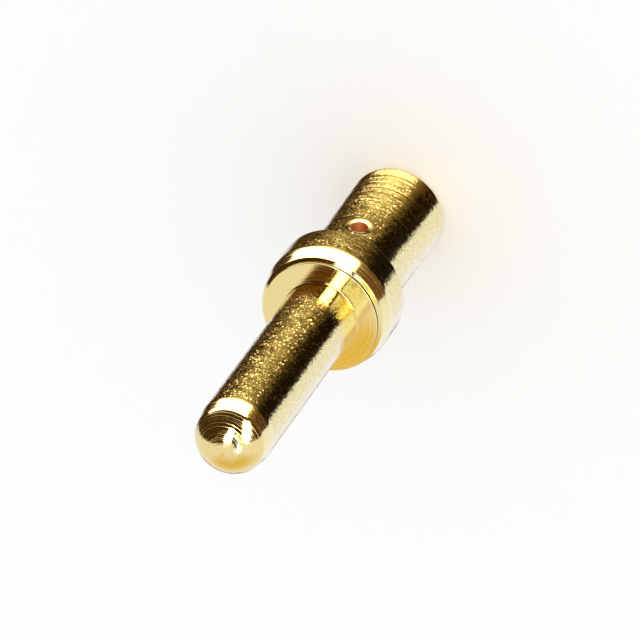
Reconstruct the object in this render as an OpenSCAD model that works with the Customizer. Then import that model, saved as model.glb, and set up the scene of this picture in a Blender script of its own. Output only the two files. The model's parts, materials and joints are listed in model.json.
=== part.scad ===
// Turned crimp pin contact: one bar of copper alloy, gold plated all over.
// It stands on the open end of its crimp barrel with the mating pin pointing up.
// Z is the turning axis, and the origin is the centre of the barrel's end.

/* [Mating pin] */
// Diameter of the pin
pin_d = 2.0; // [1.6:0.1:2.4]
// Length of the pin from the collar's front face to its tip
pin_length = 7.4; // [5:0.1:12]
// Height of the domed tip
dome_height = 0.62; // [0.4:0.02:0.8]
// Length of the tapered lead-in band below the dome
lead_length = 0.46; // [0.2:0.02:0.8]
// How much the lead-in band takes off the pin's radius
lead_depth = 0.07; // [0.03:0.01:0.15]
// Fillet between the pin and the collar's front face
pin_fillet = 0.05; // [0.02:0.01:0.3]

/* [Collar] */
// Diameter of the collar
collar_d = 3.5; // [3.3:0.1:5]
// Length of the collar from its rear face to its front face
collar_length = 1.6; // [1:0.1:3]
// Length of the shallow bevel that leads up to the front face
bevel_length = 0.6; // [0.2:0.1:0.9]
// How much the bevel takes off the collar's radius
bevel_depth = 0.14; // [0.04:0.02:0.3]
// Broken edge around the front face
face_break = 0.05; // [0.02:0.01:0.1]
// Broken edge around the collar's rear rim
rim_break = 0.05; // [0.02:0.01:0.1]

/* [Crimp barrel] */
// Outer diameter of the barrel
barrel_d = 2.6; // [2.3:0.1:3.2]
// Length of the barrel behind the collar
barrel_length = 4.5; // [2:0.1:8]
// Chamfer around the outside of the barrel's end
end_chamfer = 0.1; // [0.02:0.02:0.16]
// Fillet between the barrel and the collar's rear face
barrel_fillet = 0.15; // [0.05:0.05:0.3]

/* [Wire bore] */
// Diameter of the bore that takes the stripped wire
bore_d = 1.8; // [1:0.1:2]
// Solid metal between the bore's full-width floor and the collar's rear face
floor_to_collar = 0.6; // [0.2:0.1:1.2]
// Angle of the drilled point at the bottom of the bore
drill_angle = 118; // [90:1:140]
// Countersink around the bore's mouth
mouth_chamfer = 0.12; // [0.04:0.02:0.18]

/* [Inspection hole] */
// Diameter of the hole that shows the wire's end
hole_d = 0.5; // [0.3:0.05:0.8]
// Distance from the bore's floor to the hole's centre
hole_above_floor = 0.55; // [0.4:0.05:1.2]
// Broken edge around the hole's rim
hole_break = 0.08; // [0.02:0.01:0.15]

/* [Hidden] */

$fn = 96;
gold = "#D4A93F";

pin_r = pin_d / 2;
collar_r = collar_d / 2;
barrel_r = barrel_d / 2;
bore_r = bore_d / 2;
hole_r = hole_d / 2;

// The broken edge ends this far out on the bevel.
face_r = collar_r - bevel_depth;
broken_r = face_r + bevel_depth * face_break / bevel_length;

collar_rear = barrel_length;
collar_front = collar_rear + collar_length;
tip = collar_front + pin_length;

// The dome is a cap of the sphere that passes through its base ring and the tip.
dome_r = pin_r - lead_depth;
dome_base = tip - dome_height;
dome_sphere_r = (dome_r * dome_r + dome_height * dome_height) / (2 * dome_height);
lead_base = dome_base - lead_length;

bore_floor = collar_rear - floor_to_collar;
drill_point = bore_r / tan(drill_angle / 2);
hole_height = bore_floor - hole_above_floor;

// Cutters run past the skin that they open by this much.
overrun = 1;

// Metal left in an inside corner by the rounded nose of the turning tool
module corner_fillet(radius) {
    difference() {
        square(radius);
        translate([radius, radius]) circle(radius);
    }
}

// Half section of the domed tip, cut from a whole circle
module dome_section() {
    intersection() {
        translate([0, tip - dome_sphere_r]) circle(dome_sphere_r);
        translate([0, dome_base]) square([dome_r, dome_height]);
    }
}

// Half section of the mating pin, from inside the collar to its tip
module pin_section() {
    translate([0, collar_rear]) square([pin_r, lead_base - collar_rear]);
    polygon([[0, lead_base], [pin_r, lead_base], [dome_r, dome_base], [0, dome_base]]);
    dome_section();
    translate([pin_r, collar_front]) corner_fillet(pin_fillet);
}

// Half section of the collar, with its front bevel and its broken edges
module collar_section() {
    polygon([
        [0, collar_rear],
        [collar_r - rim_break, collar_rear],
        [collar_r, collar_rear + rim_break],
        [collar_r, collar_front - bevel_length],
        [broken_r, collar_front - face_break],
        [face_r - face_break, collar_front],
        [0, collar_front]
    ]);
}

// Half section of the barrel before it is bored
module barrel_section() {
    polygon([
        [0, 0],
        [barrel_r - end_chamfer, 0],
        [barrel_r, end_chamfer],
        [barrel_r, collar_rear],
        [0, collar_rear]
    ]);
    translate([barrel_r, collar_rear]) mirror([0, 1]) corner_fillet(barrel_fillet);
}

// Blind wire bore, with the drill's point at its floor and a countersunk mouth
module wire_bore() {
    translate([0, 0, -overrun]) cylinder(r = bore_r, h = bore_floor + overrun);
    translate([0, 0, bore_floor]) cylinder(r1 = bore_r, r2 = 0, h = drill_point);
    translate([0, 0, -overrun])
        cylinder(r1 = bore_r + mouth_chamfer + overrun, r2 = bore_r, h = mouth_chamfer + overrun);
}

// Hole drilled through one wall of the barrel, towards -Y, with a broken rim
module inspection_hole() {
    translate([0, 0, hole_height]) rotate([90, 0, 0]) {
        cylinder(r = hole_r, h = barrel_r + overrun);
        translate([0, 0, barrel_r - hole_break])
            cylinder(r1 = hole_r, r2 = hole_r + hole_break + overrun, h = hole_break + overrun);
    }
}

// The whole contact, turned from one bar and then drilled
module pin_contact() {
    color(gold) difference() {
        rotate_extrude() {
            pin_section();
            collar_section();
            barrel_section();
        }
        wire_bore();
        inspection_hole();
    }
}

pin_contact();
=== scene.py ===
"""Looks of a turned, gold-plated crimp pin contact, laid out as a Blender add-on.

The contact is one turned piece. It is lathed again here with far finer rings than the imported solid,
so that its turning marks, broken edges and drilled hole are real shapes that mirror the studio.
"""

import json
import math
from collections import namedtuple

import bmesh
import bpy
from mathutils import Matrix, Vector


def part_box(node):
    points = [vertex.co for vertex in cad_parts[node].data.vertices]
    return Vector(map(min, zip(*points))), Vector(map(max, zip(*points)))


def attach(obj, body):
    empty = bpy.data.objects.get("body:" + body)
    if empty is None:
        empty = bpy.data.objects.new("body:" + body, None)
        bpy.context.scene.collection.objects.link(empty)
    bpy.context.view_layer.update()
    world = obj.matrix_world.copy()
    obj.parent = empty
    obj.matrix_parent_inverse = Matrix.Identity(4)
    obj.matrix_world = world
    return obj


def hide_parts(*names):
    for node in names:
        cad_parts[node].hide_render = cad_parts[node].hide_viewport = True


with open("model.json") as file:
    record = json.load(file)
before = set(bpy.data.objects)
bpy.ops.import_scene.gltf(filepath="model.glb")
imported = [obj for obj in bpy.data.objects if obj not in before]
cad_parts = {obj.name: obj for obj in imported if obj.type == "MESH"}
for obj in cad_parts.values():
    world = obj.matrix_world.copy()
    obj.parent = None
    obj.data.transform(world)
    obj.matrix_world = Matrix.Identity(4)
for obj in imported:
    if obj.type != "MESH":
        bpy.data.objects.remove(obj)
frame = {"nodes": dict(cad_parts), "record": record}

bl_info = {
    "name": "Crimp pin contact",
    "version": (1, 0, 0),
    "blender": (4, 5, 0),
    "location": "3D View > Sidebar > Contact",
    "description": "Turns, drills and plates a crimp pin contact and sets it in a small studio",
    "category": "Add Mesh",
}

MM = 0.001
SAME_PLACE = 0.001 * MM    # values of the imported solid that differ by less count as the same
NODE = "pin_contact"
MOUNTS = {mount["name"]: mount for mount in frame["record"]["mounts"]}
CAD_POINTS = [(math.hypot(v.co.x, v.co.y), v.co.z) for v in frame["nodes"][NODE].data.vertices]
CAD_LOW, CAD_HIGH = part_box(NODE)


def wall_ends(radius):
    """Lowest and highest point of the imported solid's straight wall of this radius."""
    heights = [z for r, z in CAD_POINTS if abs(r - radius) < SAME_PLACE]
    return min(heights), max(heights)


def linear(hex_colour):
    """Linear RGBA of an sRGB hex value."""
    channels = [int(hex_colour[i:i + 2], 16) / 255 for i in (1, 3, 5)]
    return [c / 12.92 if c <= 0.04045 else ((c + 0.055) / 1.055) ** 2.4 for c in channels] + [1.0]


TIP = CAD_HIGH.z
COLLAR_REAR = MOUNTS["collar_rear_face"]["pos_m"][2]
COLLAR_FRONT = MOUNTS["collar_front_face"]["pos_m"][2]
PIN_R = MOUNTS["mating_pin"]["dims"]["r_mm"] * MM
COLLAR_R = MOUNTS["collar_seat"]["dims"]["r_mm"] * MM
BORE_R = MOUNTS["wire_bore"]["dims"]["r_mm"] * MM
BARREL_R = max(r for r, z in CAD_POINTS if z < COLLAR_REAR / 2)
LEAD_BASE = wall_ends(PIN_R)[1]
RIM_TOP, BEVEL_BASE = wall_ends(COLLAR_R)
CHAMFER_TOP, BARREL_ROOT = wall_ends(BARREL_R)
MOUTH_TOP, BORE_FLOOR = wall_ends(BORE_R)
FACE_BREAK = COLLAR_FRONT - max(
    z for r, z in CAD_POINTS if r > BARREL_R and z < COLLAR_FRONT - SAME_PLACE)


class ContactSizes(bpy.types.PropertyGroup):
    """Sizes of the turned contact"""

    pin_radius: bpy.props.FloatProperty(
        name="Pin radius", description="Radius of the mating pin", default=PIN_R, unit="LENGTH")
    dome_height: bpy.props.FloatProperty(
        name="Dome height", description="Height of the domed tip", default=0.62 * MM, unit="LENGTH")
    lead_base: bpy.props.FloatProperty(
        name="Lead-in base", description="Height at which the tapered lead-in band starts",
        default=LEAD_BASE, unit="LENGTH")
    lead_depth: bpy.props.FloatProperty(
        name="Lead-in depth", description="What the lead-in band takes off the pin's radius",
        default=0.07 * MM, unit="LENGTH")
    pin_fillet: bpy.props.FloatProperty(
        name="Pin fillet", description="Fillet where the pin meets the collar",
        default=0.02 * MM, unit="LENGTH")
    collar_radius: bpy.props.FloatProperty(
        name="Collar radius", description="Radius of the collar", default=COLLAR_R, unit="LENGTH")
    bevel_base: bpy.props.FloatProperty(
        name="Bevel base", description="Height at which the collar's bevel starts",
        default=BEVEL_BASE, unit="LENGTH")
    bevel_depth: bpy.props.FloatProperty(
        name="Bevel depth", description="What the bevel takes off the collar's radius",
        default=0.14 * MM, unit="LENGTH")
    face_break: bpy.props.FloatProperty(
        name="Face break", description="Broken edge between the collar's front face and its bevel",
        default=FACE_BREAK, unit="LENGTH")
    face_cone: bpy.props.FloatProperty(
        name="Face cone", description="How much lower the face is at its edge than at the pin",
        default=0.015 * MM, unit="LENGTH")
    edge_length: bpy.props.FloatProperty(
        name="Edge length", description="How far down the bevel its broken edge reaches",
        default=0.16 * MM, unit="LENGTH")
    step_width: bpy.props.FloatProperty(
        name="Step width", description="Width of the fine step down to the face's broken edge",
        default=0.004 * MM, unit="LENGTH")
    step_depth: bpy.props.FloatProperty(
        name="Step depth", description="Depth of that step", default=0.085 * MM, unit="LENGTH")
    rim_break: bpy.props.FloatProperty(
        name="Rim break", description="Broken edge around the collar's rear rim",
        default=RIM_TOP - COLLAR_REAR, unit="LENGTH")
    crest_round: bpy.props.FloatProperty(
        name="Crest round", description="Round that tumbling leaves where a taper meets its wall",
        default=0.8 * MM, unit="LENGTH")
    fine_edge: bpy.props.FloatProperty(
        name="Fine edge", description="Round that plating leaves on the other edges",
        default=0.02 * MM, unit="LENGTH")
    barrel_radius: bpy.props.FloatProperty(
        name="Barrel radius", description="Outer radius of the crimp barrel",
        default=BARREL_R, unit="LENGTH")
    barrel_fillet: bpy.props.FloatProperty(
        name="Barrel fillet", description="Fillet where the barrel meets the collar",
        default=COLLAR_REAR - BARREL_ROOT, unit="LENGTH")
    end_chamfer: bpy.props.FloatProperty(
        name="End chamfer", description="Chamfer around the barrel's end",
        default=CHAMFER_TOP, unit="LENGTH")
    bore_radius: bpy.props.FloatProperty(
        name="Bore radius", description="Radius of the wire bore", default=BORE_R, unit="LENGTH")
    bore_floor: bpy.props.FloatProperty(
        name="Bore floor", description="Height at which the bore's straight wall ends",
        default=BORE_FLOOR, unit="LENGTH")
    mouth_chamfer: bpy.props.FloatProperty(
        name="Mouth chamfer", description="Countersink around the bore's mouth",
        default=MOUTH_TOP, unit="LENGTH")
    drill_angle: bpy.props.FloatProperty(
        name="Drill angle", description="Angle of the drilled point at the bore's floor",
        default=math.radians(118), subtype="ANGLE")
    hole_radius: bpy.props.FloatProperty(
        name="Hole radius", description="Radius of the inspection hole",
        default=0.25 * MM, unit="LENGTH")
    hole_height: bpy.props.FloatProperty(
        name="Hole height", description="Height of the inspection hole's centre",
        default=BORE_FLOOR - 0.55 * MM, unit="LENGTH")
    hole_break: bpy.props.FloatProperty(
        name="Hole break", description="Width of the shallow deburred edge around the hole",
        default=0.14 * MM, unit="LENGTH")
    hole_sink: bpy.props.FloatProperty(
        name="Hole sink", description="Depth of that edge", default=0.026 * MM, unit="LENGTH")


class ContactFinish(bpy.types.PropertyGroup):
    """Colours and turning marks of the plated contact"""

    gold: bpy.props.FloatVectorProperty(
        name="Gold", description="Colour of the gold plate", default=linear("#F4D890"),
        size=4, min=0, max=1, subtype="COLOR")
    thin_gold: bpy.props.FloatVectorProperty(
        name="Thin gold", description="Colour of the plate where tumbling thinned it",
        default=linear("#E6C470"), size=4, min=0, max=1, subtype="COLOR")
    bore_gold: bpy.props.FloatVectorProperty(
        name="Bore gold", description="Colour of the thin plate inside the bore",
        default=linear("#F6CA8C"), size=4, min=0, max=1, subtype="COLOR")
    # Painted shade: a dark colour for the fine step, standing in for the dark reflection that the
    # narrow step holds round the face.
    step_shade: bpy.props.FloatVectorProperty(
        name="Step shade", description="Colour of the metal on the fine step, where the plate is thin",
        default=linear("#6E5832"), size=4, min=0, max=1, subtype="COLOR")
    ring_pitch: bpy.props.FloatProperty(
        name="Ring pitch", description="Feed of the tool that faced the dome and the collar",
        default=0.085 * MM, unit="LENGTH")
    dome_ring_depth: bpy.props.FloatProperty(
        name="Dome ring depth", description="Depth of the rings that the tool left on the dome",
        default=0.001 * MM, unit="LENGTH")
    face_ring_depth: bpy.props.FloatProperty(
        name="Face ring depth", description="Depth of the rings that the tool left on the collar",
        default=0.00015 * MM, unit="LENGTH")
    corner_reach: bpy.props.FloatProperty(
        name="Corner reach", description="How far from an inside corner the skin stays as turned",
        default=0.85 * MM, unit="LENGTH")


class StudioSetup(bpy.types.PropertyGroup):
    """Camera and stage"""

    azimuth: bpy.props.FloatProperty(
        name="Azimuth", description="Side that the camera stands on",
        default=math.radians(-26.53), subtype="ANGLE")
    elevation: bpy.props.FloatProperty(
        name="Elevation", description="Height of the camera over the horizon",
        default=math.radians(55.26), subtype="ANGLE")
    roll: bpy.props.FloatProperty(
        name="Roll", description="Turn of the camera about its own line of sight",
        default=math.radians(143.86), subtype="ANGLE")
    distance: bpy.props.FloatProperty(
        name="Distance", description="Distance from the camera to the contact",
        default=206 * MM, unit="LENGTH")
    lens: bpy.props.FloatProperty(
        name="Lens", description="Focal length in millimetres", default=448.96)
    aim: bpy.props.FloatVectorProperty(
        name="Aim", description="Point that the camera looks at",
        default=(-0.04 * MM, 0.02 * MM, 6.206 * MM), subtype="XYZ", unit="LENGTH")
    floor_colour: bpy.props.FloatVectorProperty(
        name="Floor", description="Colour of the floor", default=linear("#FBFBFB"),
        size=4, min=0, max=1, subtype="COLOR")
    lamp_colour: bpy.props.FloatVectorProperty(
        name="Lamp", description="Colour of the softboxes and of light from the table",
        default=linear("#FFFAF0"), size=4, min=0, max=1, subtype="COLOR")
    sweep_colour: bpy.props.FloatVectorProperty(
        name="Sweep", description="Colour of the paper sweep and of the top softbox",
        default=linear("#E8EFFF"), size=4, min=0, max=1, subtype="COLOR")
    glow_colour: bpy.props.FloatVectorProperty(
        name="Glow", description="Colour of the dim wall under the rear softbox",
        default=linear("#F2EDC8"), size=4, min=0, max=1, subtype="COLOR")
    cool_colour: bpy.props.FloatVectorProperty(
        name="Cool sweep", description="Colour of the sweep's far end", default=linear("#C8D7FF"),
        size=4, min=0, max=1, subtype="COLOR")
    fill_colour: bpy.props.FloatVectorProperty(
        name="Fill strip",
        description="Colour of the strip that the face mirrors by way of the pin",
        default=linear("#A6C6FF"), size=4, min=0, max=1, subtype="COLOR")
    bounce_colour: bpy.props.FloatVectorProperty(
        name="Face strip", description="Colour of the strip that the face mirrors directly",
        default=linear("#E6CA48"), size=4, min=0, max=1, subtype="COLOR")
    root_colour: bpy.props.FloatVectorProperty(
        name="Root strip", description="Colour of the strip that the pin's root mirrors",
        default=linear("#F6FB6E"), size=4, min=0, max=1, subtype="COLOR")
    warm_colour: bpy.props.FloatVectorProperty(
        name="Warm cards", description="Colour of the warm cards beside the sweep and the glow",
        default=linear("#ECD98E"), size=4, min=0, max=1, subtype="COLOR")
    flag_colour: bpy.props.FloatVectorProperty(
        name="Flag", description="Colour of the dark room and of the flags in it",
        default=linear("#42301A"), size=4, min=0, max=1, subtype="COLOR")
    shade_colour: bpy.props.FloatVectorProperty(
        name="Shade", description="Colour of the darkest card", default=linear("#15110C"),
        size=4, min=0, max=1, subtype="COLOR")
    light: bpy.props.FloatProperty(
        name="Light", description="Strength of the even white light on the floor", default=1.03)


def add_node(tree, kind, inputs=None, **settings):
    """Adds a node. An input given as another node's output is linked, any other value is set."""
    node = tree.nodes.new(kind)
    for name, value in settings.items():
        setattr(node, name, value)
    for name, value in (inputs or {}).items():
        if isinstance(value, bpy.types.NodeSocket):
            tree.links.new(value, node.inputs[name])
        else:
            node.inputs[name].default_value = value
    return node


def new_material(name):
    """An empty node material and its tree."""
    material = bpy.data.materials.new(name)
    material.use_nodes = True
    material.node_tree.nodes.clear()
    return material, material.node_tree


def new_object(name, mesh):
    """Links a new object into the scene."""
    thing = bpy.data.objects.new(name, mesh)
    bpy.context.scene.collection.objects.link(thing)
    return thing


def satin_gold(finish):
    """Gold plate over a turned, tumbled wall: a soft sheen around the axis, broken into grains."""
    material, tree = new_material("gold_plate_tumbled_satin")
    place = add_node(tree, "ShaderNodeTexCoord")
    # Grains 0.03 mm across and 0.045 mm high, drawn coarser than the real ones so that they show
    grain_size = add_node(tree, "ShaderNodeVectorMath", operation="DIVIDE", inputs={
        0: place.outputs["Object"], 1: (0.03 * MM, 0.03 * MM, 0.045 * MM)})
    grain = add_node(tree, "ShaderNodeTexVoronoi", inputs={
        "Vector": grain_size.outputs[0], "Scale": 1.0})
    # Tumbling leaves cloudy patches about 0.3 mm across.
    cloud_size = add_node(tree, "ShaderNodeVectorMath", operation="DIVIDE", inputs={
        0: place.outputs["Object"], 1: (0.3 * MM, 0.3 * MM, 0.2 * MM)})
    cloud = add_node(tree, "ShaderNodeTexNoise", inputs={
        "Vector": cloud_size.outputs[0], "Scale": 1.0, "Detail": 3.0})
    # Tool marks about 0.07 mm apart run around the contact. They are deepest at the barrel's end.
    mark_size = add_node(tree, "ShaderNodeVectorMath", operation="DIVIDE", inputs={
        0: place.outputs["Object"], 1: (5 * MM, 5 * MM, 0.07 * MM)})
    marks = add_node(tree, "ShaderNodeTexNoise", inputs={
        "Vector": mark_size.outputs[0], "Scale": 1.0, "Detail": 2.0, "Roughness": 0.6})
    height = add_node(tree, "ShaderNodeSeparateXYZ", inputs={"Vector": place.outputs["Object"]})
    depth = add_node(tree, "ShaderNodeMapRange", inputs={
        "Value": height.outputs["Z"], "From Min": 0.4 * MM, "From Max": 3.2 * MM,
        "To Min": 0.5, "To Max": 0.08})
    # All of these tip the skin along the axis: rare grains far, though less among deep marks, and
    # the other grains, the clouds and the marks a little. What is taken off keeps the wall upright.
    rarity, far_tip, less_when_marked = 5.0, 0.18, -0.22
    cloud_share, grain_share, side_share = 0.07, 0.06, 0.026
    usual_mark, usual_tip = 0.22, 0.1
    chance = add_node(tree, "ShaderNodeSeparateColor", inputs={"Color": grain.outputs["Color"]})
    few = add_node(tree, "ShaderNodeMath", operation="POWER", inputs={
        0: chance.outputs["Red"], 1: rarity})
    reach = add_node(tree, "ShaderNodeMath", operation="MULTIPLY_ADD", inputs={
        0: depth.outputs["Result"], 1: less_when_marked, 2: far_tip})
    grain_tip = add_node(tree, "ShaderNodeMath", operation="MULTIPLY", inputs={
        0: few.outputs[0], 1: reach.outputs[0]})
    cloud_tip = add_node(tree, "ShaderNodeMath", operation="MULTIPLY_ADD", inputs={
        0: cloud.outputs["Fac"], 1: cloud_share, 2: grain_tip.outputs[0]})
    mark = add_node(tree, "ShaderNodeMath", operation="SUBTRACT", inputs={
        0: marks.outputs["Fac"], 1: usual_mark})
    mark_tip = add_node(tree, "ShaderNodeMath", operation="MULTIPLY_ADD", inputs={
        0: mark.outputs[0], 1: depth.outputs["Result"], 2: cloud_tip.outputs[0]})
    uneven = add_node(tree, "ShaderNodeMath", operation="MULTIPLY_ADD", inputs={
        0: chance.outputs["Blue"], 1: grain_share, 2: mark_tip.outputs[0]})
    level = add_node(tree, "ShaderNodeMath", operation="SUBTRACT", inputs={
        0: uneven.outputs[0], 1: usual_tip})
    along = add_node(tree, "ShaderNodeCombineXYZ", inputs={"Z": level.outputs[0]})
    # Grains also lean a little to either side, which frays the edges of what the wall mirrors.
    tangent = add_node(tree, "ShaderNodeTangent", direction_type="RADIAL", axis="Z")
    lean = add_node(tree, "ShaderNodeMapRange", inputs={
        "Value": chance.outputs["Green"], "To Min": -side_share, "To Max": side_share})
    sideways = add_node(tree, "ShaderNodeVectorMath", operation="SCALE", inputs={
        0: tangent.outputs[0], "Scale": lean.outputs["Result"]})
    tip = add_node(tree, "ShaderNodeVectorMath", operation="ADD", inputs={
        0: along.outputs[0], 1: sideways.outputs[0]})
    # Tumbling media don't reach into the corners, where the skin stays as the tool left it.
    tumbled = add_node(tree, "ShaderNodeAttribute", attribute_name="tumbled")
    tip_here = add_node(tree, "ShaderNodeVectorMath", operation="SCALE", inputs={
        0: tip.outputs[0], "Scale": tumbled.outputs["Fac"]})
    skin = add_node(tree, "ShaderNodeNewGeometry")
    tipped = add_node(tree, "ShaderNodeVectorMath", operation="ADD", inputs={
        0: skin.outputs["Normal"], 1: tip_here.outputs[0]})
    normal = add_node(tree, "ShaderNodeVectorMath", operation="NORMALIZE", inputs={
        0: tipped.outputs[0]})
    rough = add_node(tree, "ShaderNodeMapRange", inputs={
        "Value": cloud.outputs["Fac"], "From Min": 0.3, "From Max": 0.7,
        "To Min": 0.08, "To Max": 0.14})
    # The plate is a little thinner on some grains.
    plate = add_node(tree, "ShaderNodeMix", data_type="RGBA", inputs={
        "Factor": chance.outputs["Blue"], "A": finish.gold, "B": finish.thin_gold})
    gold = add_node(tree, "ShaderNodeBsdfPrincipled", inputs={
        "Base Color": plate.outputs["Result"], "Metallic": 1.0,
        "Roughness": rough.outputs["Result"], "Anisotropic": 0.85, "Anisotropic Rotation": 0.25,
        "Tangent": tangent.outputs[0], "Normal": normal.outputs[0]})
    add_node(tree, "ShaderNodeOutputMaterial", inputs={"Surface": gold.outputs[0]})
    return material


def ringed_gold(name, finish, smooth, dull, anisotropic):
    """Gold plate over a faced surface: close to a mirror, with duller rings around the axis."""
    material, tree = new_material(name)
    # Distance along the turned outline, so that the rings lie around the axis, about 0.05 mm apart
    path = add_node(tree, "ShaderNodeAttribute", attribute_name="turning_path")
    count = add_node(tree, "ShaderNodeMath", operation="DIVIDE", inputs={
        0: path.outputs["Fac"], 1: 0.05 * MM})
    rings = add_node(tree, "ShaderNodeTexNoise", noise_dimensions="1D", inputs={
        "W": count.outputs[0], "Scale": 1.0, "Detail": 2.0, "Roughness": 0.6})
    rough = add_node(tree, "ShaderNodeMapRange", interpolation_type="SMOOTHSTEP", inputs={
        "Value": rings.outputs["Fac"], "From Min": 0.48, "From Max": 0.66,
        "To Min": smooth, "To Max": dull})
    tangent = add_node(tree, "ShaderNodeTangent", direction_type="RADIAL", axis="Z")
    gold = add_node(tree, "ShaderNodeBsdfPrincipled", inputs={
        "Base Color": finish.gold, "Metallic": 1.0, "Roughness": rough.outputs["Result"],
        "Anisotropic": anisotropic, "Anisotropic Rotation": 0.25, "Tangent": tangent.outputs[0]})
    add_node(tree, "ShaderNodeOutputMaterial", inputs={"Surface": gold.outputs[0]})
    return material


def dome_gold(finish):
    """Bright plate on the dome, torn here and there into dull rings that glow in its dark parts."""
    return ringed_gold("gold_plate_turned_bright", finish, 0.07, 0.36, 0.5)


def edge_gold(finish):
    """Plate on the bevel, the lead-in band and broken edges: almost a mirror, in faint rings."""
    return ringed_gold("gold_plate_turned_edge", finish, 0.08, 0.28, 0.5)


def face_gold(finish):
    """Plate on the collar's faced front: its fine grooves draw each light out across them."""
    return ringed_gold("gold_plate_faced_grooves", finish, 0.07, 0.14, 0.85)


def bore_gold(finish):
    """Thin gold plate inside a drilled hole: redder and rougher, with the drill's fine rings."""
    material, tree = new_material("gold_plate_drilled_bore")
    place = add_node(tree, "ShaderNodeTexCoord")
    # Drill rings about 0.06 mm apart
    ring_size = add_node(tree, "ShaderNodeVectorMath", operation="DIVIDE", inputs={
        0: place.outputs["Object"], 1: (0.8 * MM, 0.8 * MM, 0.06 * MM)})
    rings = add_node(tree, "ShaderNodeTexNoise", inputs={
        "Vector": ring_size.outputs[0], "Scale": 1.0, "Detail": 2.0})
    bump = add_node(tree, "ShaderNodeBump", inputs={
        "Strength": 1.0, "Distance": 0.002 * MM, "Height": rings.outputs["Fac"]})
    rough = add_node(tree, "ShaderNodeMapRange", inputs={
        "Value": rings.outputs["Fac"], "From Min": 0.3, "From Max": 0.7,
        "To Min": 0.38, "To Max": 0.5})
    gold = add_node(tree, "ShaderNodeBsdfPrincipled", inputs={
        "Base Color": finish.bore_gold, "Metallic": 1.0,
        "Roughness": rough.outputs["Result"], "Normal": bump.outputs[0]})
    add_node(tree, "ShaderNodeOutputMaterial", inputs={"Surface": gold.outputs[0]})
    return material


def step_painted_shade(finish):
    """Dull dark brass on the fine step: painted shade that draws a dark line round the face."""
    material, tree = new_material("brass_stained_step")
    brass = add_node(tree, "ShaderNodeBsdfPrincipled", inputs={
        "Base Color": finish.step_shade, "Metallic": 1.0, "Roughness": 0.4})
    add_node(tree, "ShaderNodeOutputMaterial", inputs={"Surface": brass.outputs[0]})
    return material


FINISHES = (satin_gold, dome_gold, edge_gold, face_gold, bore_gold, step_painted_shade)
SATIN, DOMED, BRIGHT, FACED, BORE, SHADED_STEP = range(len(FINISHES))
SEGMENTS = 180
HOLE_CELLS = 11            # grid cells from the hole's centre to each side of the gap left for it
SHARP_ANGLE = math.radians(40)

# Spacing of the rings along each part of the outline
DOME_STEP = 0.014 * MM
TAPER_STEP = 0.03 * MM
PIN_STEP = 0.12 * MM
FACE_STEP = 0.012 * MM
SHADED_STEP_SPACING = 0.006 * MM
EDGE_STEP = 0.008 * MM
BEVEL_STEP = 0.02 * MM
WALL_STEP = 0.06 * MM
REAR_STEP = 0.04 * MM
BORE_STEP = 0.12 * MM
FLOOR_WALL_STEP = 0.05 * MM
FLOOR_STEP = 0.08 * MM
ROUND_STEP = 0.009 * MM
FEWEST_STEPS = 4           # rings in the smallest round
FOOT_GAP = 0.09 * MM       # what the dome's rings leave free for the round at its foot

# A ring cut by the tool is a wave with a shallower, slower one on it that never falls in step.
MAIN_WAVE, SLOW_WAVE = 0.6, 0.4
SLOW_RATE, SLOW_START = 0.618, 1.3

# Courses of faces that lead in to the hole's lip, down the lip and through the wall
BLENDS, LIPS, WALLS = 8, 8, 6
LIP_CURVE = 1.5            # above 1, the lip steepens towards the hole

Corner = namedtuple("Corner", "r z round finish spacing")
Ring = namedtuple("Ring", "r z finish path tumbled", defaults=(0.0, 1.0))


def rounded_path(*corners):
    """Rings of a half section through corners. A corner's finish and spacing are those of the line
    that leads on from it, and its round is bright."""
    rings = []
    leave = None
    for before, corner, after in zip((None,) + corners, corners, corners[1:] + (None,)):
        here = Vector((corner.r, corner.z))
        start = end = here
        if before and after and corner.round:
            back = (Vector((before.r, before.z)) - here).normalized()
            on = (Vector((after.r, after.z)) - here).normalized()
            half = back.angle(on) / 2
            start = here + back * corner.round / math.tan(half)
            end = here + on * corner.round / math.tan(half)
        if leave is not None:
            count = max(1, round((start - leave).length / before.spacing))
            rings += [Ring(*leave.lerp(start, k / count), before.finish) for k in range(count)]
        if start != end:
            centre = here + (back + on).normalized() * (corner.round / math.sin(half))
            sweep = (start - centre).angle_signed(end - centre)
            count = max(FEWEST_STEPS, round(abs(sweep) * corner.round / ROUND_STEP))
            for k in range(count):
                spoke = Matrix.Rotation(-sweep * k / count, 2) @ (start - centre)
                rings.append(Ring(*centre + spoke, BRIGHT))
        leave = end
    return rings + [Ring(*leave, corners[-1].finish)]


def dome_rings(sizes):
    """Rings of the domed tip, from the tip down to the round at its foot."""
    base_r = sizes.pin_radius - sizes.lead_depth
    sphere_r = (base_r ** 2 + sizes.dome_height ** 2) / (2 * sizes.dome_height)
    reach = math.asin(base_r / sphere_r) - FOOT_GAP / sphere_r
    count = round(reach * sphere_r / DOME_STEP)
    angles = [reach * k / count for k in range(1, count + 1)]
    return [Ring(sphere_r * math.sin(a), TIP - sphere_r * (1 - math.cos(a)), DOMED) for a in angles]


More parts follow.
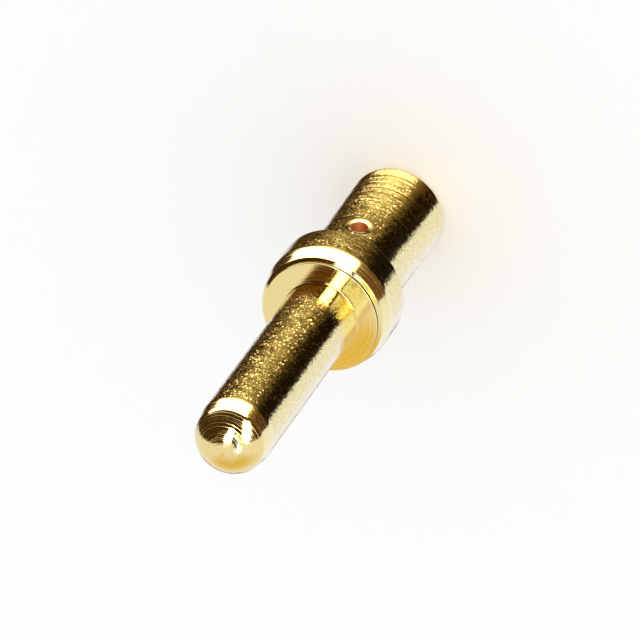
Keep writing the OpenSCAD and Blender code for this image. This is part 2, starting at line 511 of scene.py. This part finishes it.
def outline(sizes):
    """Rings of the whole half section from the tip round to the drill's point, and the ring numbers
    between which the outer and inner walls leave a gap for the hole."""
    fine, hole_z = sizes.fine_edge, sizes.hole_height
    gap = math.sin(HOLE_CELLS * 2 * math.pi / SEGMENTS)
    outer, inner = sizes.barrel_radius * gap, sizes.bore_radius * gap
    drill_point = sizes.bore_floor + sizes.bore_radius / math.tan(sizes.drill_angle / 2)
    base_r = sizes.pin_radius - sizes.lead_depth
    face_r, face_z = sizes.collar_radius - sizes.bevel_depth, COLLAR_FRONT - sizes.face_cone
    step_r = face_r - sizes.face_break
    slope = sizes.bevel_depth / (COLLAR_FRONT - sizes.bevel_base)
    edge_r = face_r + sizes.edge_length * slope
    dome = dome_rings(sizes)
    front = dome[:-1] + rounded_path(
        Corner(dome[-1].r, dome[-1].z, 0, DOMED, DOME_STEP),
        Corner(base_r, TIP - sizes.dome_height, sizes.crest_round / 2, BRIGHT, TAPER_STEP),
        Corner(sizes.pin_radius, sizes.lead_base, sizes.crest_round, SATIN, PIN_STEP),
        Corner(sizes.pin_radius, COLLAR_FRONT, sizes.pin_fillet, FACED, FACE_STEP),
        # The fine step down to the face's broken edge takes the painted shade.
        Corner(step_r - sizes.step_width, face_z, fine, SHADED_STEP, SHADED_STEP_SPACING),
        Corner(step_r, face_z - sizes.step_depth, 0, BRIGHT, EDGE_STEP),
        Corner(edge_r, COLLAR_FRONT - sizes.edge_length, fine, BRIGHT, BEVEL_STEP),
        Corner(sizes.collar_radius, sizes.bevel_base, sizes.crest_round, SATIN, WALL_STEP),
        Corner(sizes.collar_radius, COLLAR_REAR + sizes.rim_break, fine, BRIGHT, TAPER_STEP),
        Corner(sizes.collar_radius - sizes.rim_break, COLLAR_REAR, fine, FACED, REAR_STEP),
        Corner(sizes.barrel_radius, COLLAR_REAR, sizes.barrel_fillet, SATIN, WALL_STEP),
        Corner(sizes.barrel_radius, hole_z + outer, 0, SATIN, WALL_STEP))
    cells = [1 - k / HOLE_CELLS for k in range(1, 2 * HOLE_CELLS)]
    outer_wall = [Ring(sizes.barrel_radius, hole_z + outer * part, SATIN) for part in cells]
    rear = rounded_path(
        Corner(sizes.barrel_radius, hole_z - outer, 0, SATIN, WALL_STEP),
        Corner(sizes.barrel_radius, sizes.end_chamfer, fine, BRIGHT, TAPER_STEP),
        Corner(sizes.barrel_radius - sizes.end_chamfer, 0, fine, FACED, REAR_STEP),
        Corner(sizes.bore_radius + sizes.mouth_chamfer, 0, fine, BRIGHT, REAR_STEP),
        Corner(sizes.bore_radius, sizes.mouth_chamfer, fine, BORE, BORE_STEP),
        Corner(sizes.bore_radius, hole_z - inner, 0, BORE, BORE_STEP))
    inner_wall = [Ring(sizes.bore_radius, hole_z - inner * part, BORE) for part in cells]
    floor = rounded_path(
        Corner(sizes.bore_radius, hole_z + inner, 0, BORE, FLOOR_WALL_STEP),
        Corner(sizes.bore_radius, sizes.bore_floor, fine, BORE, FLOOR_STEP),
        Corner(0, drill_point, 0, BORE, FLOOR_STEP))
    outer_top = len(front) - 1
    inner_bottom = outer_top + 2 * HOLE_CELLS + len(rear) - 1
    gaps = ((outer_top, outer_top + 2 * HOLE_CELLS), (inner_bottom + 2 * HOLE_CELLS, inner_bottom))
    return front + outer_wall + rear + inner_wall + floor[:-1], gaps, drill_point


def turned(rings, sizes, finish):
    """The rings with the tool's marks cut into the bright ones, the distance along the outline and
    how far tumbling reached them."""
    corners = (Vector((sizes.pin_radius, COLLAR_FRONT)), Vector((sizes.barrel_radius, COLLAR_REAR)))
    marked, path = [], 0.0
    for before, ring, after in zip(rings[:1] + rings, rings, rings[1:] + rings[-1:]):
        path += math.hypot(ring.r - before.r, ring.z - before.z)
        along = Vector((after.r - before.r, after.z - before.z)).normalized()
        cut = 0.0
        if ring.finish in (DOMED, BRIGHT, FACED) and ring.z > sizes.bevel_base:
            turn = 2 * math.pi * path / finish.ring_pitch
            wave = MAIN_WAVE * math.sin(turn) + SLOW_WAVE * math.sin(turn * SLOW_RATE + SLOW_START)
            depth = finish.dome_ring_depth if ring.finish == DOMED else finish.face_ring_depth
            cut = depth * (1 - wave) / 2
        nearest = min((Vector((ring.r, ring.z)) - corner).length for corner in corners)
        marked.append(Ring(ring.r + along.y * cut, ring.z - along.x * cut, ring.finish, path,
                           min(1.0, nearest / finish.corner_reach)))
    return marked


class Skin:
    """The contact's skin while it is made: points with their distance along the outline and how far
    they are tumbled, and faces with their finish."""

    def __init__(self, rings):
        self.rings, self.numbers = rings, {}
        self.points, self.paths, self.tumbled = [], [], []
        self.faces, self.finishes = [], []

    def add(self, place, path, tumbled=1.0):
        """Adds a point and returns its number."""
        self.points.append(place)
        self.paths.append(path)
        self.tumbled.append(tumbled)
        return len(self.points) - 1

    def on_ring(self, k, column):
        """Number of ring k's point at a column, made when first asked for. Column 0 faces -Y."""
        key = (k, column % SEGMENTS)
        if key not in self.numbers:
            ring, side = self.rings[k], 2 * math.pi * column / SEGMENTS
            place = (ring.r * math.sin(side), -ring.r * math.cos(side), ring.z)
            self.numbers[key] = self.add(place, ring.path, ring.tumbled)
        return self.numbers[key]

    def band(self, upper, lower, finish):
        """Joins two closed rows of points."""
        for i in range(len(upper)):
            n = (i + 1) % len(upper)
            self.faces.append((upper[i], upper[n], lower[n], lower[i]))
            self.finishes.append(finish)

    def mesh(self, name):
        """The finished mesh. It fails if the skin isn't closed."""
        mesh = bpy.data.meshes.new(name)
        mesh.from_pydata(self.points, [], self.faces)
        mesh.polygons.foreach_set("material_index", self.finishes)
        shape = bmesh.new()
        shape.from_mesh(mesh)
        bmesh.ops.recalc_face_normals(shape, faces=shape.faces)
        open_edges = sum(not edge.is_manifold for edge in shape.edges)
        shape.to_mesh(mesh)
        shape.free()
        if open_edges:
            raise RuntimeError(f"the contact's skin has {open_edges} open edges")
        for attribute, values in (("turning_path", self.paths), ("tumbled", self.tumbled)):
            mesh.attributes.new(attribute, "FLOAT", "POINT").data.foreach_set("value", values)
        mesh.shade_smooth()
        mesh.set_sharp_from_angle(angle=SHARP_ANGLE)
        return mesh


def lathe(skin, gaps, drill_point):
    """Turns the rings into walls, apart from the gaps, and closes both ends."""
    gap_rings = [k for ends in gaps for k in range(min(ends), max(ends))]
    gap_columns = [j % SEGMENTS for j in range(-HOLE_CELLS, HOLE_CELLS)]
    for k in range(len(skin.rings) - 1):
        for j in range(SEGMENTS):
            if k not in gap_rings or j not in gap_columns:
                skin.faces.append((skin.on_ring(k, j), skin.on_ring(k + 1, j),
                                   skin.on_ring(k + 1, j + 1), skin.on_ring(k, j + 1)))
                skin.finishes.append(skin.rings[k].finish)
    last = len(skin.rings) - 1
    for k, height, finish in ((0, TIP, DOMED), (last, drill_point, BORE)):
        centre = skin.add((0, 0, height), skin.rings[k].path)
        for j in range(SEGMENTS):
            skin.faces.append((centre, skin.on_ring(k, j), skin.on_ring(k, j + 1)))
            skin.finishes.append(finish)


def gap_edge(skin, top, bottom):
    """Numbers of the points around a gap, clockwise from its upper left corner."""
    down = 1 if bottom > top else -1
    left, right = -HOLE_CELLS, HOLE_CELLS
    edge = [(top, j) for j in range(left, right)]
    edge += [(k, right) for k in range(top, bottom, down)]
    edge += [(bottom, j) for j in range(right, left, -1)]
    edge += [(k, left) for k in range(bottom, top, -down)]
    return [skin.on_ring(k, j) for k, j in edge]


def drill_hole(skin, gaps, sizes):
    """Fills both gaps with courses that narrow to the hole, sink at its lip and line its wall."""
    outer_loop, inner_loop = (gap_edge(skin, *ends) for ends in gaps)
    height, across = sizes.hole_height, sizes.hole_radius
    lip, sink = sizes.hole_break, sizes.hole_sink
    path = skin.rings[gaps[0][0]].path
    outer, inner = (
        [Vector((skin.points[n][0], skin.points[n][2] - height)) for n in loop]
        for loop in (outer_loop, inner_loop))
    ways = [place.normalized() for place in outer]

    def on_wall(place, radius, depth=0.0):
        """A place in the hole's front view, laid on the wall of that radius and sunk into it."""
        return (place.x, depth - math.sqrt(radius ** 2 - place.x ** 2), height + place.y)

    courses = []
    for k in range(1, BLENDS):
        places = [edge.lerp(way * (across + lip), k / BLENDS) for edge, way in zip(outer, ways)]
        courses.append((SATIN, [on_wall(place, sizes.barrel_radius) for place in places]))
    for k in range(LIPS + 1):
        reach, depth = across + lip * (1 - k / LIPS), sink * (k / LIPS) ** LIP_CURVE
        courses.append((BRIGHT, [on_wall(way * reach, sizes.barrel_radius, depth) for way in ways]))
    starts = [Vector(on_wall(way * across, sizes.barrel_radius, sink)) for way in ways]
    stops = [Vector(on_wall(way * across, sizes.bore_radius)) for way in ways]
    for k in range(1, WALLS + 1):
        courses.append((BORE, [start.lerp(stop, k / WALLS) for start, stop in zip(starts, stops)]))
    for k in range(1, BLENDS):
        places = [(way * across).lerp(edge, k / BLENDS) for edge, way in zip(inner, ways)]
        courses.append((BORE, [on_wall(place, sizes.bore_radius) for place in places]))
    previous = outer_loop
    for finish, course in courses:
        row = [skin.add(tuple(place), path) for place in course]
        skin.band(previous, row, finish)
        previous = row
    skin.band(previous, inner_loop, BORE)


class CONTACT_OT_turn(bpy.types.Operator):
    """Turns, drills and plates the contact"""

    bl_idname = "contact.turn"
    bl_label = "Turned contact"

    def execute(self, context):
        sizes, finish = context.scene.contact_sizes, context.scene.contact_finish
        rings, gaps, drill_point = outline(sizes)
        skin = Skin(turned(rings, sizes, finish))
        lathe(skin, gaps, drill_point)
        drill_hole(skin, gaps, sizes)
        contact = new_object("crimp_pin_contact", skin.mesh("contact"))
        for make_finish in FINISHES:
            contact.data.materials.append(make_finish(finish))
        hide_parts(NODE)
        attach(contact, "root")
        return {"FINISHED"}


def towards(azimuth, elevation):
    """Unit vector to a side of the studio; azimuth 0 is towards -Y and 90 towards +X."""
    return Vector((
        math.sin(azimuth) * math.cos(elevation),
        -math.cos(azimuth) * math.cos(elevation),
        math.sin(elevation)))


def fade(inside, feather):
    """Smooth step from 0 at an edge to 1 where it is a feather's width inside."""
    part = max(0.0, min(1.0, inside / feather)) if feather else 1.0
    return part * part * (3 - 2 * part)


def card_cover(across, along, width, low, high, feather, side_feather, corner):
    """Cover of a card at a point given in degrees: 1 inside, fading to 0 at its rounded edge."""
    # A card that runs all the way round has no sides.
    to_side = width / 2 - abs(across) if width < 360 else 360
    to_end = min(along - low, high - along)
    if to_side < corner and to_end < corner:
        return fade(corner - math.hypot(corner - to_side, corner - to_end), feather)
    return fade(to_side, side_feather or feather) * fade(to_end, feather)


CARD_GRID = 72, 48         # columns and rows of faces in a card


def studio_card(name, colour, strength, side, width, low, high, reach, pitch=0, turn=0,
                feather=0, side_feather=0, corner=0, centre=(CAD_LOW + CAD_HIGH) / 2):
    """A bowed card around the contact that only mirror-like skin sees. It faces the centre from the
    given side, runs from its low to its high edge and is then pitched up and turned, in degrees.
    Its reach is its distance from the centre in metres, and a nearer card hides a farther one."""
    columns, rows = CARD_GRID
    place = (Matrix.Rotation(math.radians(side), 3, "Z")
             @ Matrix.Rotation(math.radians(-pitch), 3, "X")
             @ Matrix.Rotation(math.radians(turn), 3, "Y"))
    points, cover, faces = [], [], []
    for k in range(rows + 1):
        along = low + (high - low) * k / rows
        for j in range(columns + 1):
            across = width * (j / columns - 0.5)
            way = place @ towards(math.radians(across), math.radians(along))
            points.append(centre + way * reach)
            cover.append(card_cover(across, along, width, low, high, feather, side_feather, corner))
    for k in range(rows):
        for j in range(columns):
            n = k * (columns + 1) + j
            faces.append((n, n + 1, n + columns + 2, n + columns + 1))
    mesh = bpy.data.meshes.new(name)
    mesh.from_pydata(points, [], faces)
    mesh.attributes.new("cover", "FLOAT", "POINT").data.foreach_set("value", cover)
    material, tree = new_material(name)
    glow = add_node(tree, "ShaderNodeEmission", inputs={"Color": colour, "Strength": strength})
    clear = add_node(tree, "ShaderNodeBsdfTransparent")
    edge = add_node(tree, "ShaderNodeAttribute", attribute_name="cover")
    mix = add_node(tree, "ShaderNodeMixShader", inputs={
        0: edge.outputs["Fac"], 1: clear.outputs[0], 2: glow.outputs[0]})
    add_node(tree, "ShaderNodeOutputMaterial", inputs={"Surface": mix.outputs[0]})
    # Cards hide each other only from rays that hit them, so none is sampled as a lamp.
    material.cycles.emission_sampling = "NONE"
    mesh.materials.append(material)
    card = new_object(name, mesh)
    card.visible_camera = card.visible_diffuse = card.visible_shadow = False
    card.visible_transmission = card.visible_volume_scatter = False


def set_cards(setup):
    """Everything that the contact mirrors: a dark room with flags and warm walls, a bright paper
    sweep, strips for the collar's face and the pin's root, and softboxes."""
    # Walls of the room, from far to near
    studio_card("dark_room", setup.flag_colour, 1.0, side=0, width=360, low=-90, high=90,
                reach=0.60)
    studio_card("black_flag", setup.shade_colour, 1.0, side=-57, width=66, low=-90, high=-38,
                reach=0.59, feather=5)
    studio_card("brown_card", setup.flag_colour, 3.0, side=-58, width=68, low=-39, high=-10,
                reach=0.585, feather=4)
    studio_card("warm_haze", setup.warm_colour, 0.5, side=10, width=120, low=-58, high=-20,
                reach=0.583, feather=13, side_feather=40)
    studio_card("warm_glow", setup.glow_colour, 1.42, side=22, width=92, low=-62, high=-20,
                reach=0.58, feather=21, side_feather=46)
    studio_card("paper_sweep", setup.sweep_colour, 1.15, side=190.5, width=169, low=-95, high=95,
                reach=0.57, feather=4)
    studio_card("cool_sweep", setup.cool_colour, 1.7, side=230, width=90, low=-95, high=-20,
                reach=0.565, feather=20, side_feather=5)
    studio_card("edge_flag", setup.lamp_colour, 0.42, side=161, width=34, low=-80, high=-28,
                reach=0.56, feather=3)
    studio_card("left_flag", setup.flag_colour, 1.0, side=98, width=52, low=-95, high=-26,
                reach=0.56, feather=8)
    studio_card("warm_corner", setup.warm_colour, 0.95, side=190, width=116, low=-22, high=60,
                reach=0.56, feather=37, corner=37)
    # Strips overhead, for the collar's front face and the pin's root
    studio_card("warm_strip", setup.bounce_colour, 1.05, side=161.5, width=14, low=46, high=58.6,
                reach=0.555, feather=2.5)
    studio_card("fill_strip", setup.fill_colour, 3.1, side=-85, width=110, low=45, high=66,
                reach=0.56, feather=5)
    studio_card("orange_strip", setup.root_colour, 1.0, side=-68, width=60, low=44, high=56,
                reach=0.558, feather=3, side_feather=8)
    studio_card("dim_strip", setup.flag_colour, 3.5, side=60, width=84, low=50, high=60,
                reach=0.56, feather=3)
    # A gap near the top of the room, and bands at its foot
    studio_card("dark_gap", setup.flag_colour, 1.0, side=-98, width=44, low=61, high=75,
                reach=0.55, feather=4, corner=8)
    studio_card("dark_base", setup.flag_colour, 1.0, side=-66, width=90, low=-90, high=-74,
                reach=0.55, feather=3)
    studio_card("floor_glow", setup.lamp_colour, 2.0, side=17, width=84, low=-90, high=-69,
                reach=0.55, feather=4)
    # Softboxes
    studio_card("rear_softbox", setup.lamp_colour, 4.4, side=26, width=111, low=-44, high=-12,
                reach=0.54, turn=3, feather=5, corner=16)
    studio_card("side_softbox", setup.lamp_colour, 6.0, side=-55, width=30, low=-34, high=32,
                reach=0.54, pitch=25, turn=-51, feather=5, corner=10)
    studio_card("top_softbox", setup.sweep_colour, 4.0, side=4, width=26, low=-12, high=17,
                reach=0.54, pitch=74, feather=4, corner=10)
    studio_card("top_softbox_far", setup.sweep_colour, 1.3, side=4, width=26, low=8, high=29,
                reach=0.545, pitch=74, feather=4, corner=10)
    studio_card("top_softbox_end", setup.sweep_colour, 12.0, side=-8, width=20, low=-14, high=14,
                reach=0.54, pitch=57, feather=3, corner=6)
    # The white table under the barrel shines into its bore.
    studio_card("bore_glow", setup.lamp_colour, 3.2, side=0, width=360, low=-90, high=-35,
                reach=1.2 * MM, centre=Vector((0, 0, 0)))


def set_floor(setup):
    """A pale paper floor. The cards stand for it in the metal, so mirror rays pass it, and it
    throws no shadow of its own."""
    half = 1.0             # metres from the contact to each side
    corners = [(-half, -half, 0), (half, -half, 0), (half, half, 0), (-half, half, 0)]
    mesh = bpy.data.meshes.new("floor")
    mesh.from_pydata(corners, [], [(0, 1, 2, 3)])
    material, tree = new_material("white_paper")
    paper = add_node(tree, "ShaderNodeBsdfDiffuse", inputs={"Color": setup.floor_colour})
    add_node(tree, "ShaderNodeOutputMaterial", inputs={"Surface": paper.outputs[0]})
    mesh.materials.append(material)
    floor = new_object("floor", mesh)
    floor.visible_glossy = floor.visible_shadow = False


def set_light(scene, setup):
    """Even white light from all sides. The cards stand for it in the metal."""
    world = scene.world or bpy.data.worlds.new("studio")
    scene.world = world
    world.use_nodes = True
    world.node_tree.nodes.clear()
    white = add_node(world.node_tree, "ShaderNodeBackground", inputs={
        "Color": (1, 1, 1, 1), "Strength": setup.light})
    add_node(world.node_tree, "ShaderNodeOutputWorld", inputs={"Surface": white.outputs[0]})
    world.cycles_visibility.glossy = False
    scene.view_settings.view_transform = "Standard"


def set_camera(scene, setup):
    """A long lens that looks down at the contact, rolled so that its pin points down and left."""
    lens = bpy.data.cameras.new("camera")
    lens.sensor_width = 36
    lens.lens = setup.lens
    lens.clip_start, lens.clip_end = 0.01, 10
    camera = bpy.data.objects.new("camera", lens)
    scene.collection.objects.link(camera)
    back = towards(setup.azimuth, setup.elevation)
    right = Vector((0, 0, 1)).cross(back).normalized()
    up = back.cross(right)
    tilted_up = up * math.cos(setup.roll) + right * math.sin(setup.roll)
    tilted_right = tilted_up.cross(back)
    turn = Matrix((tilted_right, tilted_up, back)).transposed()
    place = Matrix.Translation(Vector(setup.aim) + back * setup.distance)
    camera.matrix_world = place @ turn.to_4x4()
    scene.camera = camera


class CONTACT_OT_stage(bpy.types.Operator):
    """Sets the floor, the studio's cards and light, and the camera"""

    bl_idname = "contact.stage"
    bl_label = "Stage"

    def execute(self, context):
        setup = context.scene.contact_studio
        set_floor(setup)
        set_cards(setup)
        set_light(context.scene, setup)
        set_camera(context.scene, setup)
        return {"FINISHED"}


class CONTACT_PT_panel(bpy.types.Panel):
    """Lists the contact's sizes, finish and stage with their operators"""

    bl_idname = "CONTACT_PT_panel"
    bl_label = "Crimp pin contact"
    bl_space_type = "VIEW_3D"
    bl_region_type = "UI"
    bl_category = "Contact"

    def draw(self, context):
        for group in ("contact_sizes", "contact_finish", "contact_studio"):
            settings = getattr(context.scene, group)
            box = self.layout.box()
            for name in settings.__annotations__:
                box.prop(settings, name)
        self.layout.operator(CONTACT_OT_turn.bl_idname)
        self.layout.operator(CONTACT_OT_stage.bl_idname)


CLASSES = (
    ContactSizes, ContactFinish, StudioSetup, CONTACT_OT_turn, CONTACT_OT_stage, CONTACT_PT_panel)


def register():
    """Registers the classes and hangs their settings on the scene."""
    for cls in CLASSES:
        bpy.utils.register_class(cls)
    bpy.types.Scene.contact_sizes = bpy.props.PointerProperty(type=ContactSizes)
    bpy.types.Scene.contact_finish = bpy.props.PointerProperty(type=ContactFinish)
    bpy.types.Scene.contact_studio = bpy.props.PointerProperty(type=StudioSetup)


def unregister():
    """Takes the settings and the classes away again."""
    del bpy.types.Scene.contact_studio
    del bpy.types.Scene.contact_finish
    del bpy.types.Scene.contact_sizes
    for cls in reversed(CLASSES):
        bpy.utils.unregister_class(cls)


def main():
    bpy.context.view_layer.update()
    register()
    bpy.ops.contact.turn()
    bpy.ops.contact.stage()
    bpy.context.view_layer.update()


if __name__ == "__main__":
    main()
